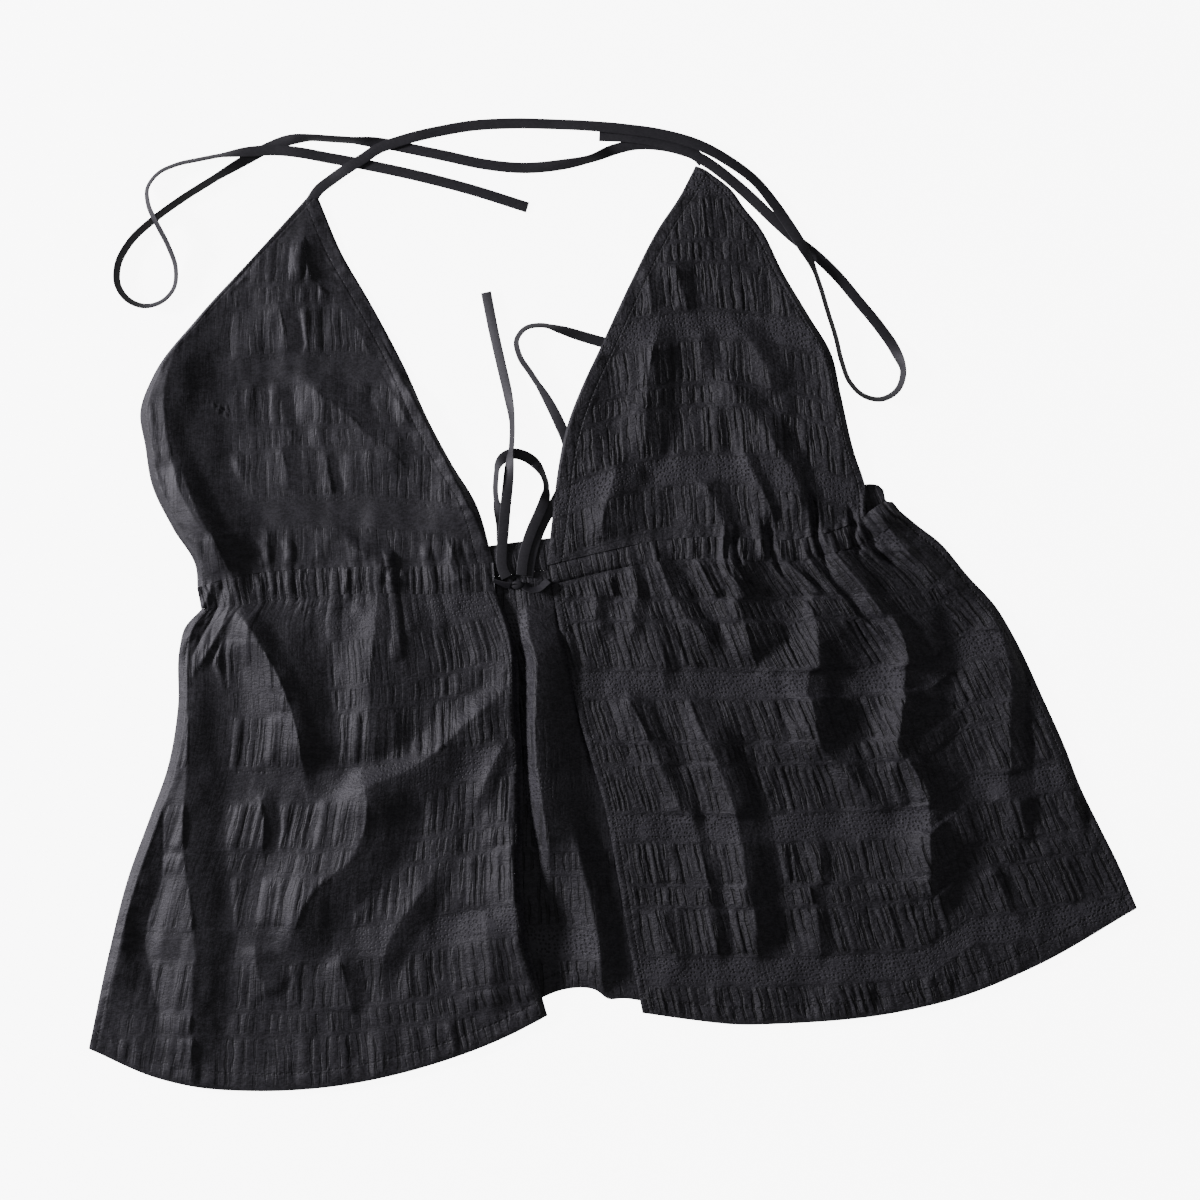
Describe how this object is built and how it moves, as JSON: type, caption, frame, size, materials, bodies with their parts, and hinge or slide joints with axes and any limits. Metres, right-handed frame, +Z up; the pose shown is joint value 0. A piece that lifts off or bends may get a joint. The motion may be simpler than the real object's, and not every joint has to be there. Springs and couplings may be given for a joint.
{
  "type": "halter-neck peplum top",
  "caption": "Halter-neck peplum top laid flat: triangular cups with long neck ties, gathered drawstring waist tied in a bow, and a flared skirt open at the front.",
  "frame": {"origin": "middle of the cloth's length and width, on the surface it lies on", "axes": "+X to the viewer's right as seen from above, across the hem; +Y towards the neck; +Z up, out of the surface"},
  "size_m": [0.6294, 0.5848, 0.017],
  "materials": {
    "crinkled_cotton": "matt, crinkled in bands",
    "tie_cotton": "matt, smooth, folded flat"
  },
  "bodies": {
    "root": {"cup_left": "crinkled_cotton", "cup_right": "crinkled_cotton", "casing_left": "crinkled_cotton", "casing_right": "crinkled_cotton", "back_casing": "crinkled_cotton", "front_peplum_left": "crinkled_cotton", "front_peplum_right": "crinkled_cotton", "back_peplum": "crinkled_cotton", "neck_tie_left": "tie_cotton", "neck_tie_right": "tie_cotton", "drawstring_left": "tie_cotton", "drawstring_right": "tie_cotton", "bow_knot": "tie_cotton", "bow_loop": "tie_cotton", "bow_tail": "tie_cotton", "bow_tail_under": "tie_cotton"}
  },
  "joints": []
}
